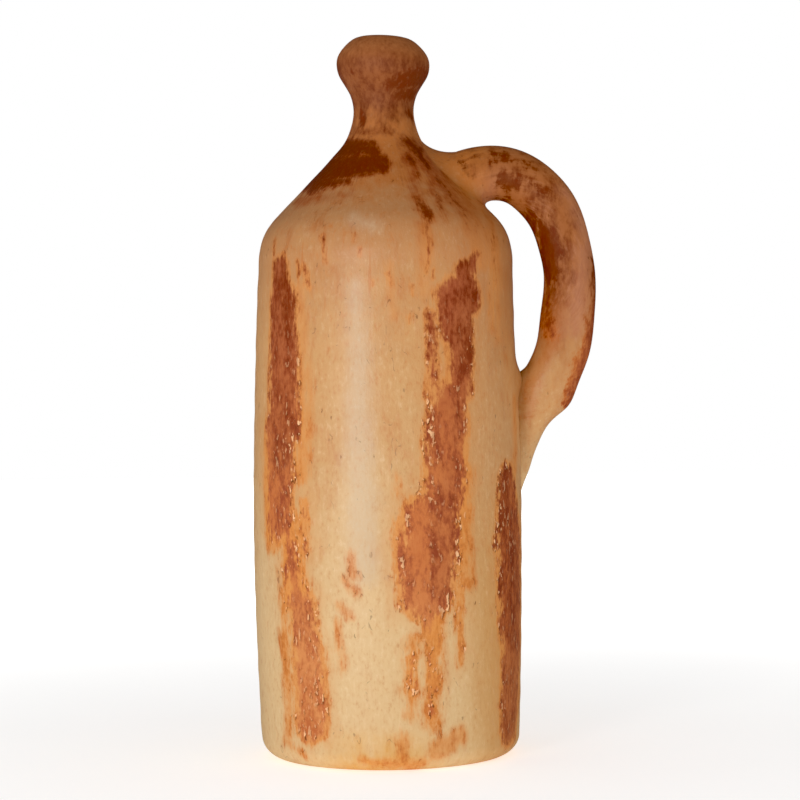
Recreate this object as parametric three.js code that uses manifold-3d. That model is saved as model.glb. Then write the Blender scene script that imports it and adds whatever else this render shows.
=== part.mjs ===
// A terracotta carafe: a tall, slightly bellied bottle of earthenware with a conical shoulder, a narrow neck,
// a thick rolled lip and one pulled handle from the shoulder to the wall.
// It is put together as a potter builds it: a floor, a wall, a shoulder, a neck and a lip, thrown as rings that
// stand on each other with a stepped rim, and a handle with a collar of clay round its root and a thin tail.
// Units are millimetres, +Z is up, the origin is the middle of the foot, and the handle points along +X.
import * as THREE from "three";
import { mergeVertices } from "three/addons/utils/BufferGeometryUtils.js";
import Module from "manifold-3d";

const wasm = await Module();
wasm.setup();

// Outside of the pot, from the table up
const FOOT_RADIUS = 62.5; // the wall's line carried down to the table
const FOOT_ROUND = 9.5; // rounded edge of the foot
const WALL_HEIGHT = 254; // table to the turn of the shoulder
const BELLY_SWELL = 3.3; // how far the wall bulges at mid height
const SHOULDER_RADIUS = 61.8; // the wall's line carried up to the turn of the shoulder
const SHOULDER_ROUND = 30; // rounding of that turn
const SHOULDER_RISE = 49.2; // turn of the shoulder to the foot of the neck
const NECK_RADIUS = 14.7; // the neck's waist
const NECK_SWEEP = 28; // hollow curve from the shoulder into the neck
const NECK_LENGTH = 17; // foot of the neck to the start of its flare
const FLARE_SWEEP = 20; // hollow curve from the neck into the flare
const FLARE_RISE = 13.7; // start of the flare to the underside of the lip
const LIP_RADIUS = 22.9; // widest radius of the lip
const LIP_UNDER_ROUND = 15; // rounding below the widest line of the lip
const LIP_UNDER_RISE = 4.3; // underside of the lip to its widest line
const LIP_ROUND = 12; // section radius of the rolled lip above its widest line

// Inside of the pot
const WALL_THICKNESS = 7;
const FLOOR_THICKNESS = 9;
const FLOOR_ROUND = 8; // curve between the floor and the wall, inside
const NECK_THICKNESS = 5;
const MOUTH_DEPTH = 14; // from the top of the lip down to the straight bore of the neck

// Seams between the thrown rings
const FLOOR_SEAM_RISE = 3; // above the curve inside the floor
const SHOULDER_SEAM_DROP = 14; // below the turn of the shoulder
const NECK_SEAM_RISE = 1; // above the foot of the neck
const LIP_SEAM_RISE = 7.5; // above the start of the flare
const JOINT_STEP = 4; // height of the step that centres one ring on the next
const SLIP_GAP = 0.3; // room for the clay slip in a joint

// Handle, in the plane of +X and +Z
const FINGER_GAP = 14.5; // widest room between the wall and the handle
const HANDLE_THICKNESS = 26; // in the plane of the handle
const HANDLE_WIDTH = 24; // across that plane
const ROOT_THICKNESS = 28; // the same two sizes where the handle leaves the shoulder
const ROOT_WIDTH = 26;
const ROOT_SHARE = 0.4; // part of the handle's length over which the root narrows to the grip
const ROOT_RISE = 25; // middle of the root above the turn of the shoulder
const ROOT_SLOPE = 29; // degrees above the level at which the handle starts out of the root
const ROOT_PULL = 55; // how long it keeps that direction
const GRIP_DROP = 22; // outermost point of the handle below the turn of the shoulder
const GRIP_PULL_UP = 34.7; // how long the grip stays upright above that point
const GRIP_PULL_DOWN = 66; // and below it
const TAIL_DROP = 131.5; // tip of the tail below the turn of the shoulder
const TAIL_PULL = 68.5; // how long the tail lies along the wall
const TAIL_SPLIT = 58; // top of the tail piece above its tip
const TAIL_SHARE = 0.73; // part of the handle's length after which it is drawn out thin
const TAIL_TIP_THICKNESS = 2.4;
const TAIL_TIP_WIDTH = 9;
const COLLAR_REACH_OVER = 8; // spread of the clay worked in round the root, above the handle
const COLLAR_REACH_UNDER = 4.5; // and below it
const COLLAR_EDGE = 1; // thickness of that clay at its rims

// Fineness of the surfaces
const TURN_STEPS = 40; // facets round the pot
const ARC_STEPS = 4; // facets along a rounded corner of an outline
const LINE_STEP = 26; // tallest facet of the wall
const HANDLE_RINGS = 30; // sections along the handle
const HANDLE_SIDES = 16; // facets round the handle
const COLLAR_SIDES = 32; // facets round the collar

// Heights that follow from the sizes above
const neckFoot = WALL_HEIGHT + SHOULDER_RISE;
const flareFoot = neckFoot + NECK_LENGTH;
const lipUnder = flareFoot + FLARE_RISE;
const lipWidest = lipUnder + LIP_UNDER_RISE;
const lipTop = lipWidest + LIP_ROUND;
const boreRadius = NECK_RADIUS - NECK_THICKNESS;
const mouthRadius = LIP_RADIUS - LIP_ROUND;
const floorSeam = FLOOR_THICKNESS + FLOOR_ROUND + FLOOR_SEAM_RISE;
const shoulderSeam = WALL_HEIGHT - SHOULDER_SEAM_DROP;
const neckSeam = neckFoot + NECK_SEAM_RISE;
const lipSeam = flareFoot + LIP_SEAM_RISE;

// Outlines are lists of points with x as the radius and y as the height.
const at = (radius, height) => new THREE.Vector2(radius, height);

// A line from corner to corner, with each inner corner rounded by an arc. Where two arcs would meet on a short
// line, both shrink to share it.
function roundedLine(corners, rounds) {
  const inner = corners.slice(1, -1).map((corner, i) => {
    const before = corner.clone().sub(corners[i]);
    const after = corners[i + 2].clone().sub(corner);
    const turn = Math.atan2(before.cross(after), before.dot(after));
    const tangent = rounds[i] * Math.tan(Math.abs(turn) / 2);
    return { corner, before, after, turn, tangent };
  });
  const tangents = inner.map((bend) => bend.tangent);
  const share = (i) => {
    const used = (tangents[i - 1] ?? 0) + (tangents[i] ?? 0);
    const length = corners[i].distanceTo(corners[i + 1]);
    return used > length ? length / used : 1;
  };
  const points = [corners[0].clone()];
  inner.forEach((bend, i) => {
    const tangent = bend.tangent * Math.min(share(i), share(i + 1));
    const radius = tangent / Math.tan(Math.abs(bend.turn) / 2);
    const side = Math.sign(bend.turn);
    const start = bend.corner.clone().addScaledVector(bend.before.clone().normalize(), -tangent);
    const inward = at(-bend.before.y, bend.before.x).normalize().multiplyScalar(side);
    const centre = start.clone().addScaledVector(inward, radius);
    const from = start.clone().sub(centre).angle();
    const arc = new THREE.EllipseCurve(centre.x, centre.y, radius, radius, from, from + bend.turn, side < 0);
    points.push(...arc.getPoints(ARC_STEPS));
  });
  points.push(corners.at(-1).clone());
  return points;
}

// The same points with long lines divided and the wall's belly added.
function swollen(points) {
  const fine = [points[0]];
  for (const point of points.slice(1)) {
    const last = fine.at(-1);
    const pieces = Math.max(1, Math.ceil((point.y - last.y) / LINE_STEP));
    for (let i = 1; i <= pieces; i += 1) fine.push(last.clone().lerp(point, i / pieces));
  }
  return fine.map((point) => {
    const share = Math.min(point.y / WALL_HEIGHT, 1);
    const swell = point.x > 0 ? BELLY_SWELL * Math.sin(Math.PI * share) : 0;
    return at(point.x + swell, point.y);
  });
}

const quarter = Math.PI / 2;
const roll = new THREE.EllipseCurve(mouthRadius, lipWidest, LIP_ROUND, LIP_ROUND, 0, quarter);
const outside = [
  ...swollen(
    roundedLine(
      [
        at(0, 0),
        at(FOOT_RADIUS, 0),
        at(SHOULDER_RADIUS, WALL_HEIGHT),
        at(NECK_RADIUS, neckFoot),
        at(NECK_RADIUS, flareFoot),
        at(LIP_RADIUS, lipUnder),
        at(LIP_RADIUS, lipWidest),
      ],
      [FOOT_ROUND, SHOULDER_ROUND, NECK_SWEEP, FLARE_SWEEP, LIP_UNDER_ROUND],
    ),
  ),
  ...roll.getPoints(ARC_STEPS + 2).slice(1),
];

// The inside keeps the wall's thickness, measured square to the wall and to the slope of the shoulder.
const shoulderTurn = Math.atan2(SHOULDER_RADIUS - NECK_RADIUS, SHOULDER_RISE);
const innerTurnHeight = WALL_HEIGHT - WALL_THICKNESS * Math.tan(shoulderTurn / 2);
const innerSlopeRadius = SHOULDER_RADIUS - WALL_THICKNESS / Math.cos(shoulderTurn);
const innerNeckFoot = WALL_HEIGHT + (innerSlopeRadius - boreRadius) / Math.tan(shoulderTurn);
const mouthFlare = mouthRadius - boreRadius;
const mouthFoot = lipTop - MOUTH_DEPTH;
const mouth = new THREE.EllipseCurve(mouthRadius, mouthFoot, mouthFlare, MOUTH_DEPTH, Math.PI, quarter, true);
const inside = [
  ...swollen(
    roundedLine(
      [
        at(0, FLOOR_THICKNESS),
        at(FOOT_RADIUS - WALL_THICKNESS, FLOOR_THICKNESS),
        at(SHOULDER_RADIUS - WALL_THICKNESS, innerTurnHeight),
        at(boreRadius, innerNeckFoot),
        at(boreRadius, mouthFoot),
      ],
      [FLOOR_ROUND, SHOULDER_ROUND - WALL_THICKNESS, NECK_SWEEP + NECK_THICKNESS],
    ),
  ),
  ...mouth.getPoints(ARC_STEPS).slice(1, -1),
];

// The radius of an outline at a height above its rounded corner at the floor.
function radiusAt(outline, height) {
  const next = outline.findIndex((point, i) => i > 0 && point.y > height && outline[i - 1].y <= height);
  const [low, high] = [outline[next - 1], outline[next]];
  return THREE.MathUtils.mapLinear(height, low.y, high.y, low.x, high.x);
}

// The stretch of an outline between two heights, cut off square at both. With no height it runs to its own end.
function stretch(outline, low, high) {
  const kept = outline.filter((point) => (low ?? -1) < point.y && point.y < (high ?? Infinity));
  if (low !== null) kept.unshift(at(radiusAt(outline, low), low));
  if (high !== null) kept.push(at(radiusAt(outline, high), high));
  return kept;
}

const seamMiddle = (seam) => (radiusAt(outside, seam) + radiusAt(inside, seam)) / 2;

function turned(points) {
  return new THREE.LatheGeometry(points, TURN_STEPS).rotateX(Math.PI / 2);
}

// One thrown ring between two seams. Its upper rim has a step on the inside, and its lower rim is cut away to
// sit over the step of the ring below. The floor has no lower seam, and the lip no upper one.
function thrownRing(lowSeam, highSeam) {
  const points = stretch(outside, lowSeam, highSeam);
  let innerHigh = null;
  if (highSeam !== null) {
    innerHigh = highSeam + JOINT_STEP;
    points.push(at(seamMiddle(highSeam), highSeam), at(seamMiddle(highSeam), innerHigh));
  }
  const innerLow = lowSeam === null ? null : lowSeam + JOINT_STEP + SLIP_GAP;
  points.push(...stretch(inside, innerLow, innerHigh).reverse());
  if (lowSeam !== null) {
    const rebate = seamMiddle(lowSeam) + SLIP_GAP;
    points.push(at(rebate, innerLow), at(rebate, lowSeam), points[0].clone());
  }
  return turned(points);
}

// The whole outside as a solid of revolution, grown by a clearance, which shapes what is pressed onto the pot.
function outsideGrownBy(clearance) {
  const grown = outside.map((point, i) => {
    const along = (outside[i + 1] ?? point).clone().sub(outside[i - 1] ?? point);
    const out = at(along.y, -along.x).normalize();
    return point.x > 0 ? point.clone().addScaledVector(out, clearance) : point.clone();
  });
  const under = [at(0, -clearance), at(outside[1].x, -clearance)];
  return turned([...under, ...grown.slice(1), at(0, lipTop + clearance)]);
}

// How far a point lies outside the pot, negative inside it, and the way out of the pot there.
function nearestOutside(point) {
  const here = at(Math.hypot(point.x, point.y), point.z);
  let found = { gap: Infinity };
  outside.slice(1).forEach((end, i) => {
    const along = end.clone().sub(outside[i]);
    const offset = here.clone().sub(outside[i]);
    const share = THREE.MathUtils.clamp(offset.dot(along) / along.lengthSq(), 0, 1);
    const gap = here.distanceTo(outside[i].clone().addScaledVector(along, share));
    if (gap < found.gap) found = { gap, along: along.normalize(), offset };
  });
  const { gap, along, offset } = found;
  const out = new THREE.Vector3((along.y * point.x) / here.x, (along.y * point.y) / here.x, -along.x);
  return { distance: along.cross(offset) < 0 ? gap : -gap, out };
}

function solid(geometry) {
  const bare = geometry.index ? geometry.toNonIndexed() : geometry.clone();
  bare.deleteAttribute("normal");
  bare.deleteAttribute("uv");
  const merged = mergeVertices(bare);
  return new wasm.Manifold(
    new wasm.Mesh({
      numProp: 3,
      vertProperties: merged.attributes.position.array,
      triVerts: new Uint32Array(merged.index.array),
    }),
  );
}

function geometryOf(shape) {
  const { vertProperties, triVerts } = shape.getMesh();
  const geometry = new THREE.BufferGeometry();
  geometry.setAttribute("position", new THREE.BufferAttribute(vertProperties, 3));
  geometry.setIndex(new THREE.BufferAttribute(triVerts, 1));
  return geometry;
}

function meshFrom(positions, indices) {
  const geometry = new THREE.BufferGeometry();
  geometry.setAttribute("position", new THREE.Float32BufferAttribute(positions, 3));
  geometry.setIndex(indices);
  return geometry;
}

// Two triangles between each pair of neighbouring points of neighbouring rings.
function joinRings(indices, rings, sides) {
  for (let ring = 0; ring < rings; ring += 1) {
    for (let side = 0; side < sides; side += 1) {
      const a = ring * sides + side;
      const b = ring * sides + ((side + 1) % sides);
      indices.push(a, b, a + sides, b, b + sides, a + sides);
    }
  }
}

// The middle line of the handle: out of the shoulder, over to the upright grip, and down onto the wall.
const turnRadius = (height) => radiusAt(outside, height);
const rootHeight = WALL_HEIGHT + ROOT_RISE;
const gripHeight = WALL_HEIGHT - GRIP_DROP;
const tailTip = WALL_HEIGHT - TAIL_DROP;
const gripRadius = turnRadius(gripHeight) + FINGER_GAP + HANDLE_THICKNESS / 2;
const rootRadius = turnRadius(rootHeight + ROOT_THICKNESS / 2) - WALL_THICKNESS;
const slope = THREE.MathUtils.degToRad(ROOT_SLOPE);
const inPlane = (radius, height) => new THREE.Vector3(radius, 0, height);
const upperLine = new THREE.CubicBezierCurve3(
  inPlane(rootRadius, rootHeight - Math.sin(slope) * (turnRadius(rootHeight) - rootRadius)),
  inPlane(rootRadius + ROOT_PULL * Math.cos(slope), rootHeight + ROOT_PULL * Math.sin(slope)),
  inPlane(gripRadius, gripHeight + GRIP_PULL_UP),
  inPlane(gripRadius, gripHeight),
);
const lowerLine = new THREE.CubicBezierCurve3(
  inPlane(gripRadius, gripHeight),
  inPlane(gripRadius, gripHeight - GRIP_PULL_DOWN),
  inPlane(turnRadius(tailTip + TAIL_PULL), tailTip + TAIL_PULL),
  inPlane(turnRadius(tailTip), tailTip),
);
const handleLine = new THREE.CurvePath();
handleLine.add(upperLine);
handleLine.add(lowerLine);

// Thickness and width of the handle at a share of its length: stout at the root, even along the grip, and drawn
// out to a thin tongue along the tail.
function sectionAt(share) {
  const { lerp, smoothstep } = THREE.MathUtils;
  const grown = 1 - smoothstep(share, 0, ROOT_SHARE);
  const drawn = smoothstep(share, TAIL_SHARE, 1);
  const thickness = lerp(lerp(HANDLE_THICKNESS, ROOT_THICKNESS, grown), TAIL_TIP_THICKNESS, drawn);
  const width = lerp(lerp(HANDLE_WIDTH, ROOT_WIDTH, grown), TAIL_TIP_WIDTH, drawn);
  return { thickness, width };
}

// The frame of the handle's section at a share of its length: away from the pot, and across the handle.
function sectionFrame(share) {
  const centre = handleLine.getPointAt(share);
  const along = handleLine.getTangentAt(share);
  return { centre, away: inPlane(-along.z, along.x), across: new THREE.Vector3(0, -1, 0) };
}

// A point of the handle's surface, at an angle round its section, pushed out by a margin.
function handlePoint(share, angle, margin) {
  const { centre, away, across } = sectionFrame(share);
  const { thickness, width } = sectionAt(share);
  centre.addScaledVector(away, (thickness / 2 + margin) * Math.cos(angle));
  return centre.addScaledVector(across, (width / 2 + margin) * Math.sin(angle));
}

// A closed tube along a stretch of the handle's line.
function handleTube(from, to, rings, margin) {
  const positions = [];
  const indices = [];
  for (let ring = 0; ring <= rings; ring += 1) {
    const share = from + ((to - from) * ring) / rings;
    for (let side = 0; side < HANDLE_SIDES; side += 1) {
      positions.push(...handlePoint(share, (2 * Math.PI * side) / HANDLE_SIDES, margin));
    }
  }
  joinRings(indices, rings, HANDLE_SIDES);
  const last = rings * HANDLE_SIDES;
  for (let side = 1; side < HANDLE_SIDES - 1; side += 1) {
    indices.push(0, side + 1, side, last, last + side, last + side + 1);
  }
  return meshFrom(positions, indices);
}

// The share, between two others, at which a measure rises through zero.
function shareWhere(low, high, measure) {
  const halvings = 24;
  let [before, after] = [low, high];
  for (let i = 0; i < halvings; i += 1) {
    const middle = (before + after) / 2;
    if (measure(middle) < 0) before = middle;
    else after = middle;
  }
  return after;
}

const handleLength = handleLine.getLength();
const gripShare = upperLine.getLength() / handleLength;
const tailShare = shareWhere(gripShare, 1, (share) => tailTip + TAIL_SPLIT - handleLine.getPointAt(share).z);
const tailRings = Math.ceil(HANDLE_RINGS * (1 - tailShare));
const strapRings = HANDLE_RINGS - tailRings;
const pot = solid(outsideGrownBy(SLIP_GAP));

function makeStrap() {
  return solid(handleTube(0, tailShare, strapRings, 0)).subtract(pot);
}

function makeTail() {
  return solid(handleTube(tailShare + SLIP_GAP / handleLength, 1, tailRings, 0)).subtract(pot);
}

// One section of the collar, at an angle round the handle. A hollow curve runs from a rim on the handle to a
// rim on the shoulder, and the rest of the section lies inside them both, to be cut away.
function collarSection(angle) {
  const corner = shareWhere(0, gripShare, (share) => nearestOutside(handlePoint(share, angle, 0)).distance);
  const foot = handlePoint(corner, angle, 0);
  const reach = THREE.MathUtils.lerp(COLLAR_REACH_UNDER, COLLAR_REACH_OVER, (1 + Math.cos(angle)) / 2);
  const rim = shareWhere(corner, gripShare, (share) => handlePoint(share, angle, 0).distanceTo(foot) - reach);
  const { out } = nearestOutside(foot);
  const aside = handlePoint(corner, angle, 1).sub(foot).projectOnPlane(out).normalize();
  const spread = foot.clone().addScaledVector(aside, reach);
  const onPot = nearestOutside(spread);
  const potRim = (lift) => spread.clone().addScaledVector(onPot.out, lift - onPot.distance);
  const cornerAt = (lift) => handlePoint(corner, angle, lift).addScaledVector(out, lift);
  const hollow = new THREE.QuadraticBezierCurve3(
    handlePoint(rim, angle, COLLAR_EDGE),
    cornerAt(COLLAR_EDGE),
    potRim(COLLAR_EDGE),
  );
  const buried = -2 * COLLAR_EDGE;
  return [...hollow.getPoints(ARC_STEPS), potRim(buried), cornerAt(buried), handlePoint(rim, angle, buried)];
}

function makeCollar() {
  const sections = [];
  for (let side = 0; side <= COLLAR_SIDES; side += 1) {
    sections.push(collarSection((2 * Math.PI * (side % COLLAR_SIDES)) / COLLAR_SIDES));
  }
  const indices = [];
  joinRings(indices, COLLAR_SIDES, sections[0].length);
  const loft = meshFrom(sections.flat().flatMap((point) => point.toArray()), indices);
  const clearOfStrap = solid(handleTube(0, tailShare, strapRings, SLIP_GAP));
  return solid(loft).subtract(clearOfStrap).subtract(pot);
}

const clay = (name, color) => new THREE.MeshStandardMaterial({ name, color, roughness: 0.62, metalness: 0 });
const creamSlip = clay("cream_slip", 0xd9b384);
const brownSlip = clay("brown_slip", 0x9a5a33);
const handleSlip = clay("handle_slip", 0xb8835a);
const bareClay = clay("bare_clay", 0xc98a55);

const carafe = new THREE.Group();
function place(name, geometry, material) {
  const mesh = new THREE.Mesh(geometry, material);
  mesh.name = name;
  carafe.add(mesh);
}

place("base_disc", thrownRing(null, floorSeam), bareClay);
place("body_wall", thrownRing(floorSeam, shoulderSeam), creamSlip);
place("shoulder", thrownRing(shoulderSeam, neckSeam), creamSlip);
place("neck", thrownRing(neckSeam, lipSeam), brownSlip);
place("lip", thrownRing(lipSeam, null), brownSlip);
place("handle", geometryOf(makeStrap()), handleSlip);
place("handle_collar", geometryOf(makeCollar()), handleSlip);
place("handle_tail", geometryOf(makeTail()), handleSlip);

export default carafe;
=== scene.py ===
"""The look of a terracotta carafe, dressed over its CAD frame.

Five thrown rings of burnished earthenware stand on each other, and a pulled handle is worked into the
shoulder and drawn out along the wall. Cream slip covers the pot, and upright streaks of red slip are
brushed over it.
Sizes are in millimetres up to the meshes, which are in metres. +Z is up and the handle points along +X.
"""

import math

import bpy
import numpy as np
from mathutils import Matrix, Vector


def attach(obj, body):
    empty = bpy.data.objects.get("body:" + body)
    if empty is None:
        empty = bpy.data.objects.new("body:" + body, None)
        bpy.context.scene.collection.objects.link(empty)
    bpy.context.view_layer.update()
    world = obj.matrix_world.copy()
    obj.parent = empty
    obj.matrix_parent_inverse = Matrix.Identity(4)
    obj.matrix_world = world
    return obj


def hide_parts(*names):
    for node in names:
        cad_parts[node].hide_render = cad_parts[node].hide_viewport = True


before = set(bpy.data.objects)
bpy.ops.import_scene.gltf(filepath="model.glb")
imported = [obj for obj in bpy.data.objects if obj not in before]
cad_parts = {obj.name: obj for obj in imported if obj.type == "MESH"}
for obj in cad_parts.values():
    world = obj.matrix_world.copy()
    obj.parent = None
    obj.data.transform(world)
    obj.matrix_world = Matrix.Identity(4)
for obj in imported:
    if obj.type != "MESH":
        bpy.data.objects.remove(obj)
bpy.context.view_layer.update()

METRE = 1000  # millimetres

# Outside of the pot, from the table up
FOOT_RADIUS = 62.5
FOOT_ROUND = 9.5
WALL_HEIGHT = 254
BELLY_SWELL = 3.3
SHOULDER_RADIUS = 61.8
SHOULDER_ROUND = 30
NECK_FOOT = 303.2
NECK_RADIUS = 14.7
NECK_SWEEP = 28
FLARE_FOOT = 320.2
FLARE_SWEEP = 20
LIP_UNDER = 333.9
LIP_UNDER_ROUND = 15
LIP_RADIUS = 22.9
LIP_WIDEST = 338.2
LIP_ROUND = 12
LIP_RISE = 12.8
LIP_PULL = 0.9  # how far the lip's upper corner is pressed in, which domes it
LIP_TOP = LIP_WIDEST + LIP_RISE

# Inside of the pot
WALL_THICKNESS = 7
FLOOR_THICKNESS = 9
FLOOR_ROUND = 8
BORE_RADIUS = 9.7
MOUTH_RADIUS = LIP_RADIUS - LIP_ROUND
MOUTH_DEPTH = 14

# Seams between the thrown rings
FLOOR_SEAM = 20
SHOULDER_SEAM = 240
NECK_SEAM = 304.2
LIP_SEAM = 327.7
JOINT_STEP = 4
SLIP_GAP = 0.3

# Handle, in the plane of +X and +Z
FINGER_GAP = 14.5
HANDLE_THICKNESS = 26
HANDLE_WIDTH = 24
ROOT_THICKNESS = 28
ROOT_WIDTH = 26
ROOT_SHARE = 0.4
ROOT_HEIGHT = 279
ROOT_SLOPE = math.radians(29)
ROOT_PULL = 55
GRIP_HEIGHT = 232
GRIP_PULL_UP = 34.7
GRIP_PULL_DOWN = 66
TAIL_TIP = 122.5
TAIL_PULL = 68.5
TAIL_SPLIT = 180.5
TAIL_SHARE = 0.73
TAIL_TIP_THICKNESS = 2.4
TAIL_TIP_WIDTH = 9
COLLAR_REACH_OVER = 12
COLLAR_REACH_UNDER = 8.5
COLLAR_CURVE = 0.6  # how far its hollow follows the handle and the pot, as a share of its reach
COLLAR_RIM_LIFT = -0.02  # its rims end just under the clay that they run out on
CROTCH_FILL = 4.2  # clay pressed in where the tail leaves the wall
CROTCH_REACH = 5

# What the hand left uneven: height, reach and size of soft bumps, and spans over which something sets in
WALL_LEAN = [(254, 24, 0.5), (330, 18, 0.6), (105, 60, -0.6), (200, 26, -0.4)]  # towards the handle
WALL_FULLNESS = [(257, 12, 0.5), (306, 14, 0.6), (200, 26, -0.4)]
ELBOW_SWELLS = [(178, 8, 2.4), (162, 8, -0.9), (137, 9, 0.5)]
ELBOW_SPAN = (0.5, 0.6)  # shares of the handle's length
ARCH_HOLLOW = [(260, 16, -0.7)]
PULL_SPAN = (0.12, 0.3)  # shares of the handle's length
CROTCH_RISE = (182, 6, 2.8)  # on the wall, under the handle
CROTCH_TURN = 0.014  # how far that reaches round the pot, as 1 less the cosine of the angle
MOUTH_DIP = 0.9  # how far the lip leans down towards the handle
DIP_SPAN = (322, 344)

# Fineness of the meshes
TURN_STEPS = 192  # columns round the pot
WALL_STEP = 2.2  # tallest face of the outside
INSIDE_STEP = 7
ARC_STEP = 1.2
HANDLE_SIDES = 72
HANDLE_ROWS = 120
TAIL_ROWS = 44
COLLAR_ROWS = 14
COLLAR_LAPS = 3  # corrections of where the collar runs out on the pot
ROLL_POINTS = 13  # along the roll of the lip, outside and inside
LINE_POINTS = 400  # along each half of the handle's middle line
ROOT_SEARCH = np.linspace(0, 0.4, 1600)  # shares of the handle at which it may come out of the pot
ROOT_STEP = 0.004  # share of the handle that tells its direction
SEAM_MARGIN = 0.15  # a row this close to a seam keeps the shading even across it
SUNK = 2.5  # how deep the handle and its tail go into the pot's wall
BURIED = 1.5  # how deep the collar goes into the handle and the pot


def rounded_line(corners, rounds):
    """Points of radius and height along a line through corners, each inner corner rounded by an arc."""
    corners = np.array(corners, float)
    points = [corners[0]]
    for before, corner, after, radius in zip(corners, corners[1:], corners[2:], rounds):
        come = (corner - before) / np.linalg.norm(corner - before)
        leave = (after - corner) / np.linalg.norm(after - corner)
        turn = math.atan2(come[0] * leave[1] - come[1] * leave[0], come @ leave)
        inward = np.array([-come[1], come[0]]) * math.copysign(1, turn)
        start = corner - come * radius * math.tan(abs(turn) / 2)
        centre = start + inward * radius
        steps = max(3, math.ceil(abs(turn) * radius / ARC_STEP))
        for angle in np.linspace(0, abs(turn), steps + 1):
            points.append(centre + radius * (come * math.sin(angle) - inward * math.cos(angle)))
    points.append(corners[-1])
    return np.array(points)


def divided(points, step):
    """The same line with no stretch longer than a step."""
    parts = [points[:1]]
    for start, end in zip(points, points[1:]):
        pieces = max(1, math.ceil(np.linalg.norm(end - start) / step))
        shares = np.linspace(0, 1, pieces + 1)[1:, None]
        parts.append(start + (end - start) * shares)
    return np.concatenate(parts)


def bellied(points):
    """The same line with the wall's belly added."""
    shares = np.minimum(points[:, 1] / WALL_HEIGHT, 1)
    swell = np.where(points[:, 0] > 0, BELLY_SWELL * np.sin(np.pi * shares), 0)
    return np.column_stack([points[:, 0] + swell, points[:, 1]])


def quarter_turn(centre, radii, start, end):
    """A quarter of an ellipse, between two angles in degrees."""
    angles = np.radians(np.linspace(start, end, ROLL_POINTS))
    return np.column_stack([centre[0] + radii[0] * np.cos(angles), centre[1] + radii[1] * np.sin(angles)])


def outside_line():
    corners = [
        (0, 0),
        (FOOT_RADIUS, 0),
        (SHOULDER_RADIUS, WALL_HEIGHT),
        (NECK_RADIUS, NECK_FOOT),
        (NECK_RADIUS, FLARE_FOOT),
        (LIP_RADIUS, LIP_UNDER),
        (LIP_RADIUS, LIP_WIDEST),
    ]
    rounds = [FOOT_ROUND, SHOULDER_ROUND, NECK_SWEEP, FLARE_SWEEP, LIP_UNDER_ROUND]
    pressed = LIP_PULL * np.sin(np.linspace(0, np.pi, ROLL_POINTS))[:, None] ** 2 * math.sqrt(0.5)
    roll = quarter_turn((MOUTH_RADIUS, LIP_WIDEST), (LIP_ROUND, LIP_RISE), 0, 90) - pressed
    below = bellied(divided(rounded_line(corners, rounds), WALL_STEP))
    return np.concatenate([below, roll[1:]])


def inside_line():
    turn = math.atan2(SHOULDER_RADIUS - NECK_RADIUS, NECK_FOOT - WALL_HEIGHT)
    turn_height = WALL_HEIGHT - WALL_THICKNESS * math.tan(turn / 2)
    slope_radius = SHOULDER_RADIUS - WALL_THICKNESS / math.cos(turn)
    bore_foot = WALL_HEIGHT + (slope_radius - BORE_RADIUS) / math.tan(turn)
    mouth_foot = LIP_TOP - MOUTH_DEPTH
    corners = [
        (0, FLOOR_THICKNESS),
        (FOOT_RADIUS - WALL_THICKNESS, FLOOR_THICKNESS),
        (SHOULDER_RADIUS - WALL_THICKNESS, turn_height),
        (BORE_RADIUS, bore_foot),
        (BORE_RADIUS, mouth_foot),
    ]
    rounds = [FLOOR_ROUND, SHOULDER_ROUND - WALL_THICKNESS, NECK_SWEEP + NECK_RADIUS - BORE_RADIUS]
    mouth = quarter_turn((MOUTH_RADIUS, mouth_foot), (MOUTH_RADIUS - BORE_RADIUS, MOUTH_DEPTH), 180, 90)
    below = bellied(divided(rounded_line(corners, rounds), INSIDE_STEP))
    return np.concatenate([below, mouth[1:-1]])


OUTSIDE = outside_line()
INSIDE = inside_line()


def radius_at(outline, height):
    """The radius of an outline at heights above its flat floor."""
    standing = outline[np.searchsorted(outline[:, 1], outline[0, 1], side="right") - 1 :]
    return np.interp(height, standing[:, 1], standing[:, 0])


def eased(value, low, high):
    share = np.clip((value - low) / (high - low), 0, 1)
    return share * share * (3 - 2 * share)


def bump_at(value, middle, reach, size):
    """A soft bump of a size about a middle value."""
    return size * np.exp(-(((value - middle) / reach) ** 2))


def bumps(value, table):
    """The sum of soft bumps, each given by its middle, its reach and its size."""
    return sum(bump_at(value, *bump) for bump in table)


def hand_shift(angle, height):
    """How far the hand left the wall out of true, by waves, rings, a lean and clay under the handle."""
    waves = 0.32 * np.sin(2 * angle + 0.9 + height / 75) + 0.2 * np.sin(3 * angle - 1.7 + height / 41)
    rings = 0.07 * np.sin(height / 2.1 + 0.8 * np.sin(angle)) + 0.05 * np.sin(height / 3.7 - angle)
    settled = np.clip(height / 12, 0, 1) * np.clip((LIP_TOP + 6 - height) / 60, 0.25, 1)
    lean = bumps(height, WALL_LEAN) * np.cos(angle)
    crotch = bump_at(height, *CROTCH_RISE) * bump_at(1 - np.cos(angle), 0, CROTCH_TURN, 1)
    return (waves + rings + lean + bumps(height, WALL_FULLNESS)) * settled + crotch


def pot_radius(angle, height):
    return radius_at(OUTSIDE, height) + hand_shift(angle, height)


def above_pot(points):
    """How far points lie out of the pot's outside, negative within it."""
    angle = np.arctan2(points[..., 1], points[..., 0])
    height = points[..., 2]
    lean = (radius_at(OUTSIDE, height + 1) - radius_at(OUTSIDE, height - 1)) / 2
    gap = np.hypot(points[..., 0], points[..., 1]) - pot_radius(angle, height)
    return gap / np.hypot(1, lean)


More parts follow.
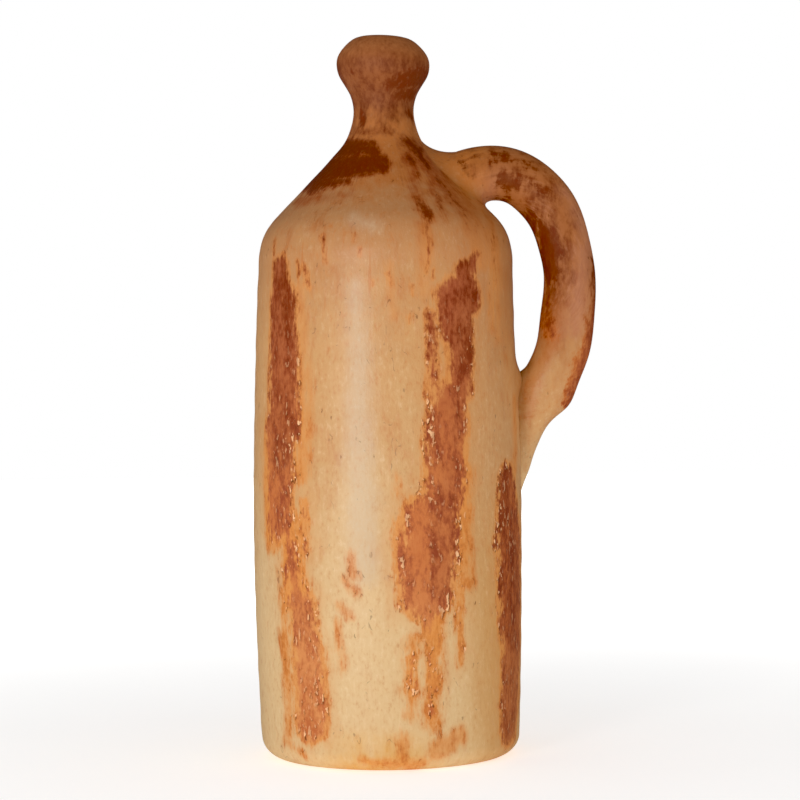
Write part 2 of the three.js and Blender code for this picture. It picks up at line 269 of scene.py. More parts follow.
def on_pot(points, lift):
    """The same points, each moved level with the table to a lift off the pot's outside."""
    angle = np.arctan2(points[..., 1], points[..., 0])
    height = points[..., 2]
    radius = pot_radius(angle, height) + lift
    return np.stack([radius * np.cos(angle), radius * np.sin(angle), height], -1)


def piece(node, rows, finishes, ring=False, sharp_rows=(), bare_from=None):
    """Makes the piece of clay that stands for a CAD node, from rows of points that each go round it.

    A ring joins its last row to its first, and any other piece is capped at both ends. Shading breaks
    at the sharp rows. Faces from a given row on, and the caps, take the last finish."""
    rows = np.asarray(rows)
    count, sides = rows.shape[:2]
    points = rows.reshape(-1, 3)
    faces = []
    marks = []
    for row in range(count if ring else count - 1):
        low = row * sides
        high = (row + 1) % count * sides
        bare = bare_from is not None and row >= bare_from
        for side in range(sides):
            after = (side + 1) % sides
            faces.append((low + side, low + after, high + after, high + side))
            marks.append(int(bare))
    if not ring:
        points = np.concatenate([points, [rows[0].mean(0), rows[-1].mean(0)]])
        first = count * sides
        last = (count - 1) * sides
        for side in range(sides):
            after = (side + 1) % sides
            faces.append((first, after, side))
            faces.append((first + 1, last + side, last + after))
        marks += [len(finishes) - 1] * (2 * sides)
    name = f"{node}_surface"
    mesh = bpy.data.meshes.new(name)
    mesh.from_pydata((points / METRE).tolist(), [], faces)
    mesh.update()
    if enclosed(mesh) < 0:
        mesh.flip_normals()
    for finish in finishes:
        mesh.materials.append(finish)
    mesh.polygons.foreach_set("material_index", marks)
    mesh.shade_smooth()
    break_shading(mesh, sides, sharp_rows)
    made = bpy.data.objects.new(name, mesh)
    bpy.context.scene.collection.objects.link(made)
    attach(made, "root")
    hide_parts(node)


def enclosed(mesh):
    """Six times the volume inside a mesh, negative if its faces look inwards."""
    mesh.calc_loop_triangles()
    corners = np.array([[mesh.vertices[i].co for i in face.vertices] for face in mesh.loop_triangles])
    return np.einsum("ij,ij->", corners[:, 0], np.cross(corners[:, 1], corners[:, 2]))


def break_shading(mesh, sides, sharp_rows):
    ends = np.zeros(2 * len(mesh.edges), int)
    mesh.edges.foreach_get("vertices", ends)
    row = ends.reshape(-1, 2) // sides
    sharp = (row[:, 0] == row[:, 1]) & np.isin(row[:, 0], sharp_rows)
    mesh.attributes.new("sharp_edge", "BOOLEAN", "EDGE").data.foreach_set("value", sharp)


def line_at(outline, heights):
    """The points of an outline at some heights."""
    return np.column_stack([radius_at(outline, heights), heights])


def stretch(outline, low, high, margin=0.0):
    """The part of an outline between two heights, with a row close to each end where a margin is given."""
    heights = outline[:, 1]
    inner = outline[(heights > low + 2 * margin) & (heights < high - 2 * margin)]
    ends = [low, low + margin] if margin else [low]
    tops = [high - margin, high] if margin else [high]
    return np.concatenate([line_at(outline, ends), inner, line_at(outline, tops)])


def seam_middle(seam):
    return (radius_at(OUTSIDE, seam) + radius_at(INSIDE, seam)) / 2


def turned(profile):
    """Rows of points round the axis, one for each point of a profile, with the hand's unevenness."""
    angle = np.linspace(0, 2 * np.pi, TURN_STEPS, endpoint=False)
    radius = profile[:, :1] + hand_shift(angle, profile[:, 1:])
    height = profile[:, 1:] - MOUTH_DIP * eased(profile[:, 1:], *DIP_SPAN) * (1 + np.cos(angle)) / 2
    return np.stack([radius * np.cos(angle), radius * np.sin(angle), height], -1)


def rim_step(seam):
    """The step on the upper rim of a ring: its foot and its top, halfway through the wall."""
    middle = seam_middle(seam)
    return np.array([(middle, seam), (middle, seam + JOINT_STEP)])


def rim_rebate(seam):
    """The rebate in the lower rim of a ring: its top and its foot, with room for slip."""
    middle = seam_middle(seam) + SLIP_GAP
    return np.array([(middle, seam + JOINT_STEP + SLIP_GAP), (middle, seam)])


def make_base(finishes):
    """The floor of the pot, with its rounded foot."""
    flat_end = np.searchsorted(OUTSIDE[:, 1], 0, side="right")
    foot = OUTSIDE[1:flat_end]
    edge = stretch(OUTSIDE[flat_end - 1 :], 0, FLOOR_SEAM, SEAM_MARGIN)[2:]
    floor_inside = stretch(INSIDE[1:], FLOOR_THICKNESS, FLOOR_SEAM + JOINT_STEP)[::-1]
    profile = np.concatenate([foot, edge, rim_step(FLOOR_SEAM), floor_inside])
    outer = len(foot) + len(edge)
    sharp = [outer - 1, outer, outer + 1, outer + 2]
    piece("base_disc", turned(profile), finishes, sharp_rows=sharp, bare_from=outer - 1)


def make_ring(node, low, high, finishes):
    """A thrown ring between two seams, with a step on its upper rim and a rebate in its lower one."""
    outer = stretch(OUTSIDE, low, high, SEAM_MARGIN)
    inner = stretch(INSIDE, low + JOINT_STEP + SLIP_GAP, high + JOINT_STEP)[::-1]
    profile = np.concatenate([outer, rim_step(high), inner, rim_rebate(low)])
    top = len(outer) - 1
    foot = len(profile) - 1
    sharp = [0, top, top + 1, top + 2, top + 3, foot - 2, foot - 1, foot]
    piece(node, turned(profile), finishes, ring=True, sharp_rows=sharp, bare_from=top)


def make_lip(finishes):
    """The rolled lip, with the flare of the neck below it and the mouth inside it."""
    kept = OUTSIDE[OUTSIDE[:, 1] > LIP_SEAM + 2 * SEAM_MARGIN]
    outer = np.concatenate([line_at(OUTSIDE, [LIP_SEAM, LIP_SEAM + SEAM_MARGIN]), kept])
    bore = LIP_SEAM + JOINT_STEP + SLIP_GAP
    mouth = INSIDE[INSIDE[:, 1] > bore][::-1]
    inner = np.concatenate([mouth, line_at(INSIDE, [bore])])
    profile = np.concatenate([outer, inner, rim_rebate(LIP_SEAM)])
    foot = len(profile) - 1
    sharp = [0, foot - 2, foot - 1, foot]
    bore_row = len(outer) + len(mouth) - 2
    piece("lip", turned(profile), finishes, ring=True, sharp_rows=sharp, bare_from=bore_row)


def curve(controls, shares):
    """Points at shares of a cubic curve with four controls, or of many curves side by side."""
    a, b, c, d = np.array(controls, float)
    t = shares.reshape(-1, *[1] * a.ndim)
    return a * (1 - t) ** 3 + 3 * b * t * (1 - t) ** 2 + 3 * c * t**2 * (1 - t) + d * t**3


def handle_line():
    """The middle line of the handle: out of the shoulder, over to the grip, and down onto the wall."""
    root = radius_at(OUTSIDE, ROOT_HEIGHT + ROOT_THICKNESS / 2) - WALL_THICKNESS
    drop = math.sin(ROOT_SLOPE) * (radius_at(OUTSIDE, ROOT_HEIGHT) - root)
    grip = radius_at(OUTSIDE, GRIP_HEIGHT) + FINGER_GAP + HANDLE_THICKNESS / 2
    pull = (root + ROOT_PULL * math.cos(ROOT_SLOPE), ROOT_HEIGHT + ROOT_PULL * math.sin(ROOT_SLOPE))
    lie = TAIL_TIP + TAIL_PULL
    shares = np.linspace(0, 1, LINE_POINTS)
    upper = [(root, ROOT_HEIGHT - drop), pull, (grip, GRIP_HEIGHT + GRIP_PULL_UP), (grip, GRIP_HEIGHT)]
    lower = [
        (grip, GRIP_HEIGHT),
        (grip, GRIP_HEIGHT - GRIP_PULL_DOWN),
        (radius_at(OUTSIDE, lie), lie),
        (radius_at(OUTSIDE, TAIL_TIP), TAIL_TIP),
    ]
    return np.concatenate([curve(upper, shares), curve(lower, shares)[1:]])


LINE = handle_line()
LINE_RUN = np.concatenate([[0], np.cumsum(np.linalg.norm(np.diff(LINE, axis=0), axis=1))])
LINE_SHARE = LINE_RUN / LINE_RUN[-1]
LINE_HEADING = np.gradient(LINE, LINE_RUN, axis=0)


def handle_point(share, angle, margin=0.0):
    """A point of the handle's surface, at a share of its length and an angle round its section."""
    radius = np.interp(share, LINE_SHARE, LINE[:, 0])
    height = np.interp(share, LINE_SHARE, LINE[:, 1])
    heading = np.stack([np.interp(share, LINE_SHARE, LINE_HEADING[:, i]) for i in range(2)], -1)
    heading = heading / np.linalg.norm(heading, axis=-1, keepdims=True)
    grown = 1 - eased(share, 0, ROOT_SHARE)
    drawn = eased(share, TAIL_SHARE, 1)
    thickness = HANDLE_THICKNESS + (ROOT_THICKNESS - HANDLE_THICKNESS) * grown
    width = HANDLE_WIDTH + (ROOT_WIDTH - HANDLE_WIDTH) * grown
    thickness = thickness + (TAIL_TIP_THICKNESS - thickness) * drawn
    width = width + (TAIL_TIP_WIDTH - width) * drawn
    pulled = 0.35 * np.sin(23 * share + 2 * angle) + 0.25 * np.sin(41 * share - angle)
    swell = margin + pulled * (1 - drawn) * eased(share, *PULL_SPAN)
    uneven = bumps(height, ELBOW_SWELLS) * eased(share, *ELBOW_SPAN) + bumps(height, ARCH_HOLLOW)
    out = (thickness / 2 + swell + uneven * np.clip(np.cos(angle), 0, 1)) * np.cos(angle)
    across = -(width / 2 + swell) * np.sin(angle)
    return np.stack([radius - heading[..., 1] * out, across, height + heading[..., 0] * out], -1)


def share_above(angle, lift):
    """For each angle round the handle, the share at which its surface comes out to a lift above the pot."""
    lifts = above_pot(handle_point(ROOT_SEARCH[:, None], angle[None, :])) - lift
    first = np.argmax(lifts > 0, axis=0)
    columns = np.arange(len(angle))
    low = lifts[first - 1, columns]
    high = lifts[first, columns]
    before = ROOT_SEARCH[first - 1]
    return before + (ROOT_SEARCH[first] - before) * low / (low - high)


def sunk_into_wall(points):
    """The same points, with those deep inside the pot's wall brought back to just under its outside."""
    deep = above_pot(points) < -SUNK
    return np.where(deep[..., None], on_pot(points, -SUNK), points)


def pressed_to_wall(points):
    """The same points, with those close to the wall drawn to it, which rounds out the crotch of the tail."""
    gap = above_pot(points)
    near = np.clip(1 - gap / CROTCH_REACH, 0, 1) * (points[..., 2] < GRIP_HEIGHT) * (gap > -SUNK)
    drawn = on_pot(points, gap - CROTCH_FILL * near**2)
    return np.where((near > 0)[..., None], drawn, points)


SIDE_ANGLES = np.linspace(0, 2 * np.pi, HANDLE_SIDES, endpoint=False)
GRIP_FOOT = np.interp(-TAIL_SPLIT, -LINE[LINE_POINTS:, 1], LINE_SHARE[LINE_POINTS:])


def make_handle(finishes):
    """The pulled handle, from inside the shoulder to where its tail begins."""
    start = share_above(SIDE_ANGLES, -SUNK)
    steps = np.linspace(0, 1, HANDLE_ROWS)[:, None]
    rows = sunk_into_wall(pressed_to_wall(handle_point(start + (GRIP_FOOT - start) * steps, SIDE_ANGLES)))
    piece("handle", rows, finishes, sharp_rows=[0, HANDLE_ROWS - 1])


def make_tail(finishes):
    """The end of the handle, pressed onto the wall and drawn out to a thin tongue."""
    shares = np.linspace(GRIP_FOOT, 1, TAIL_ROWS)[:, None]
    rows = sunk_into_wall(pressed_to_wall(handle_point(shares, SIDE_ANGLES)))
    piece("handle_tail", rows, finishes, sharp_rows=[0, TAIL_ROWS - 1])


def unit(vectors):
    return vectors / np.linalg.norm(vectors, axis=-1, keepdims=True)


def make_collar(finishes):
    """The clay worked in round the root of the handle, in a hollow curve from the handle to the shoulder."""
    corner = share_above(SIDE_ANGLES, 0)
    foot = handle_point(corner, SIDE_ANGLES)
    over = (1 + np.cos(SIDE_ANGLES)) / 2
    reach = (COLLAR_REACH_UNDER + (COLLAR_REACH_OVER - COLLAR_REACH_UNDER) * over)[:, None]
    along = unit(handle_point(corner + ROOT_STEP, SIDE_ANGLES) - foot)
    rim_share = corner + reach[:, 0] / LINE_RUN[-1]
    handle_rim = handle_point(rim_share, SIDE_ANGLES, COLLAR_RIM_LIFT)
    aside = unit(handle_point(corner, SIDE_ANGLES, 1.0) - foot)
    pot_rim = on_pot(foot + aside * reach, COLLAR_RIM_LIFT)
    for _ in range(COLLAR_LAPS):
        run = unit(pot_rim - foot)
        pot_rim = on_pot(foot + run * reach, COLLAR_RIM_LIFT)
    from_handle = handle_rim - along * reach * COLLAR_CURVE
    from_pot = pot_rim - run * reach * COLLAR_CURVE
    hollow = curve([handle_rim, from_handle, from_pot, pot_rim], np.linspace(0, 1, COLLAR_ROWS))
    in_pot = on_pot(pot_rim, -BURIED)
    in_corner = handle_point(corner, SIDE_ANGLES, -BURIED) + (foot - handle_rim) / reach * BURIED
    in_handle = handle_point(rim_share, SIDE_ANGLES, -BURIED)
    rows = [*hollow, in_pot, in_corner, in_handle]
    piece("handle_collar", rows, finishes, ring=True, sharp_rows=[0, COLLAR_ROWS - 1])


class Value:
    """A number or colour that changes over a surface. Arithmetic on it adds Math nodes to its finish."""

    def __init__(self, finish, socket):
        self.finish = finish
        self.socket = socket

    def math(self, operation, first, second):
        return self.finish.node("ShaderNodeMath", {"operation": operation}, {0: first, 1: second})

    def __add__(self, other):
        return self.math("ADD", self, other)

    __radd__ = __add__

    def __sub__(self, other):
        return self.math("SUBTRACT", self, other)

    def __rsub__(self, other):
        return self.math("SUBTRACT", other, self)

    def __mul__(self, other):
        return self.math("MULTIPLY", self, other)

    __rmul__ = __mul__

    def __abs__(self):
        return self.math("ABSOLUTE", self, 0)

    def larger(self, other):
        return self.math("MAXIMUM", self, other)

    def rise(self, low, high):
        """0 up to a low value, 1 from a high one, and a soft step between."""
        sockets = {"Value": self, "From Min": low, "From Max": high}
        return self.finish.node("ShaderNodeMapRange", {"interpolation_type": "SMOOTHSTEP"}, sockets)


class Finish:
    """The nodes of a procedural material, or of the surroundings, written as expressions."""

    NOISE_SPREAD = 4.5  # brings the noise texture, which keeps close to 0.5, to about -1 to 1

    def __init__(self, holder, shader="Principled BSDF"):
        holder.use_nodes = True
        self.holder = holder
        self.tree = holder.node_tree
        self.shader = self.tree.nodes[shader]

    def node(self, kind, settings, sockets, output=0):
        """Adds a node, sets it up, fills its sockets with values or links, and gives one of its outputs."""
        made = self.tree.nodes.new(kind)
        for name, setting in settings.items():
            setattr(made, name, setting)
        self.fill(made, sockets)
        return Value(self, made.outputs[output])

    def fill(self, node, sockets):
        for name, value in sockets.items():
            if isinstance(value, Value):
                self.tree.links.new(value.socket, node.inputs[name])
            else:
                node.inputs[name].default_value = value

    def vector(self, operation, first, second, output=0):
        return self.node("ShaderNodeVectorMath", {"operation": operation}, {0: first, 1: second}, output)

    def mix(self, share, below, above):
        return self.node("ShaderNodeMix", {"data_type": "RGBA"}, {0: share, 6: below, 7: above}, 2)

    def place(self):
        """The place on the object, in millimetres."""
        spot = self.node("ShaderNodeTexCoord", {}, {}, "Object")
        return self.vector("MULTIPLY", spot, (METRE, METRE, METRE))

    def noise(self, place, size, detail=2.0, roughness=0.5):
        """Cloudy noise from about -1 to 1, whose patches have a size in millimetres along X, Y and Z."""
        scaled = self.vector("DIVIDE", place, size)
        sockets = {"Vector": scaled, "Scale": 1.0, "Detail": detail, "Roughness": roughness}
        return (self.node("ShaderNodeTexNoise", {}, sockets) - 0.5) * self.NOISE_SPREAD

    def spots(self, place, size, radius, share):
        """Small scattered marks, one in some of the cells of a size, as a mask."""
        scaled = self.vector("DIVIDE", place, size)
        cells = {"feature": "F1"}
        near = self.node("ShaderNodeTexVoronoi", cells, {"Vector": scaled, "Scale": 1.0}, "Distance")
        tint = self.node("ShaderNodeTexVoronoi", cells, {"Vector": scaled, "Scale": 1.0}, "Color")
        chosen = self.node("ShaderNodeSeparateColor", {}, {"Color": tint}).rise(1 - share, 1)
        return (radius - near).rise(0, radius * 0.5) * chosen

    def stroke(self, canvas, start, end, start_width, end_width):
        """How far inside a tapered stroke each place of a canvas is, in millimetres, negative outside."""
        run = Vector((end[0] - start[0], end[1] - start[1], 0))
        offset = self.vector("SUBTRACT", canvas, (start[0], start[1], 0))
        dot = self.vector("DOT_PRODUCT", offset, run / run.length_squared, "Value")
        along = self.node("ShaderNodeClamp", {}, {"Value": dot})
        nearest = self.node("ShaderNodeVectorMath", {"operation": "SCALE"}, {0: run, "Scale": along})
        gap = self.vector("DISTANCE", offset, nearest, "Value")
        return along * (end_width - start_width) + start_width - gap

    def strokes(self, canvas, marks):
        """The same for the nearest of several strokes."""
        reach = self.stroke(canvas, *marks[0])
        for mark in marks[1:]:
            reach = reach.larger(self.stroke(canvas, *mark))
        return reach


def colour(red, green, blue):
    """A colour given as it shows on a screen, from 0 to 255."""
    shown = np.array([red, green, blue]) / 255
    linear = np.where(shown <= 0.04045, shown / 12.92, ((shown + 0.055) / 1.055) ** 2.4)
    return (*linear.tolist(), 1.0)


# Brush strokes on the pot: degrees from the front and height of the start and the end, then half widths
STROKE_SPREAD = 25  # how far a stroke tints the slip beyond its width
LEFT_STREAK = [
    (-53, 237, -52, 224, 7.5, 9.5),
    (-51, 222, -49, 160, 12, 13.5),
    (-51.5, 160, -53, 118, 14.5, 13),
    (-36, 127, -36, 104, 2.5, 3),
    (-46, 113, -42, 80, 5, 8),
    (-39, 80, -37, 56, 9, 10),
    (-37, 56, -36, 22, 10.5, 10.5),
]
MIDDLE_STREAK = [
    (43, 240, 40, 234, 3, 5),
    (36, 231, 37, 219, 7, 10.5),
    (31.5, 219, 32, 205, 12, 11),
    (34, 205, 33, 178, 9, 8.5),
    (20, 211, 19, 173, 3.4, 3.6),
    (27, 172, 26, 159, 11, 12),
    (25.5, 159, 24.5, 126, 11.5, 12),
    (5, 116, 6, 104, 4, 6),
    (18, 117, 17, 99, 15.5, 16.5),
    (17, 99, 16, 84, 17, 15),
    (16, 80, 17, 66, 9.5, 4),
    (31, 84, 31, 50, 2.4, 1.2),
    (20, 64, 20, 46, 2, 1.4),
    (9.5, 54, 10, 36, 2.2, 1.8),
    (17.5, 54, 18, 26, 2, 1.2),
]
RIGHT_STREAK = [
    (62, 133, 64, 106, 10, 15),
    (66, 106, 67, 66, 16.5, 16.5),
    (67, 64, 67, 30, 15.5, 14.5),
    (67, 30, 65, 17, 14.5, 12),
]
BACK_STREAKS = [
    (104, 118, 108, 76, 5, 10),
    (107, 70, 105, 24, 9, 6),
    (141, 240, 144, 196, 4, 9),
    (145, 192, 142, 128, 12, 10),
    (138, 122, 139, 92, 13, 8),
    (141, 80, 140, 40, 4, 2),
    (-110, 236, -107, 188, 5, 11),
    (-105, 184, -107, 112, 12, 9),
    (-111, 106, -110, 64, 11, 5),
    (-151, 216, -154, 160, 6, 11),
    (-155, 156, -150, 104, 12, 8),
    (-147, 98, -148, 34, 10, 5),
]
DRIPS = [
    (-28, 249, -26, 238, 1.3, 1),
    (-13, 250, -13, 247, 0.8, 0.6),
    (-59, 250, -58, 244, 1.6, 1.4),
    (-37, 236, -35, 227, 1.6, 1.4),
    (-41, 239, -40, 233, 1.2, 1),
    (19, 254, 18.5, 232, 1.9, 1.2),
    (55.5, 250, 50, 212, 0.3, -0.3),  # half a width of about 0 leaves a broken film
    (58, 253, 52, 204, 0.5, -0.1),
    (60.5, 249, 54.5, 216, 0.1, -0.5),
    (-5, 228, -5, 226, 0.9, 0.8),
    (1, 231, 2, 226, 1, 0.9),
    (12, 226, 12, 222, 1, 0.8),
    (21, 233, 21, 229, 1, 0.8),
    (10.5, 211, 10.5, 208, 1, 0.9),
    (-10, 243, -10, 240, 0.9, 0.7),
]
SHOULDER_PATCHES = [
    (-92, 296, -18, 295, 7, 4.5),
    (-88, 283, -4, 286, 9, 6),
    (-60, 276, -27, 278, 4.5, 2.5),
    (-14, 293, -2, 285, 4.5, 4),
    (34, 298, 42, 292, 2, 3),
    (41, 291, 40, 284, 2.4, 1.6),
    (43, 279, 42, 270, 1, 1.4),
    (42, 268, 43, 262, 1.2, 0.6),
    (24, 290, 29, 287, 1.4, 2),
    (19, 267, 21, 260, 1.8, 3.4),
    (21, 260, 21, 256, 2.6, 1.4),
    (32, 268, 30, 263, 1.2, 1.2),
    (26, 281, 25, 279, 0.8, 0.6),
    (104, 298, 150, 291, 4, 4),
    (-150, 299, -114, 290, 5, 4),
]
NECK_PATCHES = [
    (12, 326, 65, 330, 4, 5.5),
    (65, 330, 92, 330, 5.5, 5),
    (24, 321, 61, 322, 3, 4.5),
    (-46, 332, -44, 332, 1.6, 1.6),
    (-45, 313, -37, 308, 2.4, 2.4),
    (57, 313, 66, 311, 2.6, 2.6),
    (130, 331, 160, 328, 4, 4),
    (-125, 329, -102, 331, 4, 4),
]
SECOND_COATS_AND_SHADE = [
    (-50, 240, -50, 150, 11, 9),
    (37, 232, 33, 190, 6, 7),
    (31, 172, 27, 140, 1.5, 2.5),
    (27, 140, 25, 118, 4.5, 6.5),
    (24, 118, 22, 86, 7, 6.5),
    # The next two, on the right streak by the handle, are partly painted shade: they darken the streak on
    # the side that the light reaches less
    (61, 132, 65, 84, 12, 14),
    (66, 84, 67, 62, 13, 9),
    (-70, 288, -30, 290, 8, 5),
    (30, 328, 80, 330, 4, 4),
]
WASHES = [
    (-39, 226, -37, 140, 4, 5.5),
    (-58, 150, -57, 108, 9, 8),
    (-44, 116, -42, 84, 8, 9),
    (-49, 84, -50, 15, 3, 4),
    (27, 214, 27, 178, 3, 4),
    (33, 140, 34, 88, 6, 5),
    (10, 62, 9, 28, 4, 3.5),
    (19, 70, 18, 22, 5, 4),
    (30, 80, 30, 50, 2, 1.5),
    (6, 17, 5, 9, 3.5, 3),
    (31, 16, 20, 9, 5, 6),
    (55, 252, 52, 206, 5, 3),
    (46, 250, 47, 236, 3, 2),
    (18, 252, 17, 222, 5, 3),
    (2, 236, 3, 212, 2.4, 2),
    (-34, 190, -34, 158, 2.6, 2.3),
    (4, 136, 4, 130, 1.8, 1.8),
    (-16, 102, -15, 92, 1.6, 2.2),
    (-19, 90, -14, 84, 1.6, 1.6),
    (-21, 78, -16, 72, 2, 1.8),
    (-22, 70, -21, 48, 2.4, 2.2),
    (-12, 5, 14, 4, 2, 3),
    (-52, 12, -40, 6, 2.5, 2),
    (120, 200, 122, 120, 5, 4),
    (-128, 190, -130, 60, 4, 5),
    (165, 150, 163, 40, 4, 6),
    (33, 299, 42, 292, 3.5, 4.5),
    (42, 292, 42, 283, 4.5, 5),
    (42, 283, 42, 272, 5, 5.5),
    (42, 272, 43, 262, 5, 4),
    (24, 290, 26, 284, 3, 3),
    (25, 284, 18, 268, 2.5, 3),
    (19, 267, 21, 257, 4, 4),
    (34, 276, 30, 262, 3, 3),
    (58, 284, 52, 266, 3, 3),
    (46, 262, 49, 240, 8, 8),
    (60, 258, 58, 226, 5, 5),
    (57, 228, 57, 202, 4, 3),
    (72, 172, 70, 140, 2.5, 4),
    (-60, 268, -20, 270, 3, 2),
    (-80, 304, 10, 303, 3, 2),
    (-27, 319, 63, 320, 4, 5),
    (-70, 322, -40, 317, 4, 3),
    (120, 318, 150, 322, 4, 4),
]
# Pale rubs: the first two, down the front at about -12 degrees, are a painted sheen, a highlight of the
# burnish put into the colour; the last two are small pale rubs
SHEEN_AND_PALE_RUBS = [
    (-12, 226, -11, 170, 2, 6),
    (-11, 170, -10, 96, 6, 7),
    (-14, 258, -4, 254, 1, 1),
    (0, 343, 8, 343, 1, 1),
]

# The pot unrolled as a canvas, whose radius shrinks from the shoulder to the neck
CANVAS_RADIUS = 64
CANVAS_NECK_RADIUS = 16
CANVAS_SHOULDER = 254
CANVAS_NECK = 300
CANVAS_TAPER = (CANVAS_RADIUS - CANVAS_NECK_RADIUS) / (CANVAS_NECK - CANVAS_SHOULDER)


def on_canvas(marks, low, high):
    """The strokes that show between two heights, in millimetres on the unrolled wall."""
    canvas = []
    for angle, height, end_angle, end_height, width, end_width in marks:
        spread = max(width, end_width) + STROKE_SPREAD
        if min(height, end_height) - spread < high and max(height, end_height) + spread > low:
            start = (math.radians(angle) * canvas_radius(height), height)
            end = (math.radians(end_angle) * canvas_radius(end_height), end_height)
            canvas.append((start, end, width, end_width))
    return canvas


def canvas_radius(height):
    return CANVAS_RADIUS - (min(max(height, CANVAS_SHOULDER), CANVAS_NECK) - CANVAS_SHOULDER) * CANVAS_TAPER


CREAM = colour(227, 191, 140)
HONEY = colour(210, 160, 107)
TAN = colour(191, 136, 90)
PALE = colour(248, 222, 180)
PEACH = colour(255, 200, 148)
MILKY_SHEEN = colour(210, 184, 152)
DUSK_AND_SHEEN = colour(196, 136, 104)
STRAW = colour(228, 168, 84)
ORANGE = colour(228, 148, 74)
RUST = colour(194, 108, 50)
LIGHT_RED = colour(205, 117, 66)
FADED_AND_LIT_RED = colour(226, 150, 92)
RED = colour(164, 82, 53)
BRICK = colour(172, 76, 34)
DEEP_RED = colour(133, 56, 27)
MAROON = colour(117, 52, 18)
SADDLE = colour(176, 110, 66)
TOAST = colour(190, 116, 60)
UMBER = colour(158, 76, 38)
CHESTNUT = colour(154, 90, 50)
BROWN = colour(116, 54, 26)
# Dark brown of pits, cracks and specks, also used for the painted shadows beside the flakes
PIT_AND_SHADOW = colour(110, 58, 22)


BRUSHED = 58  # radius at which the brush marks have their own width


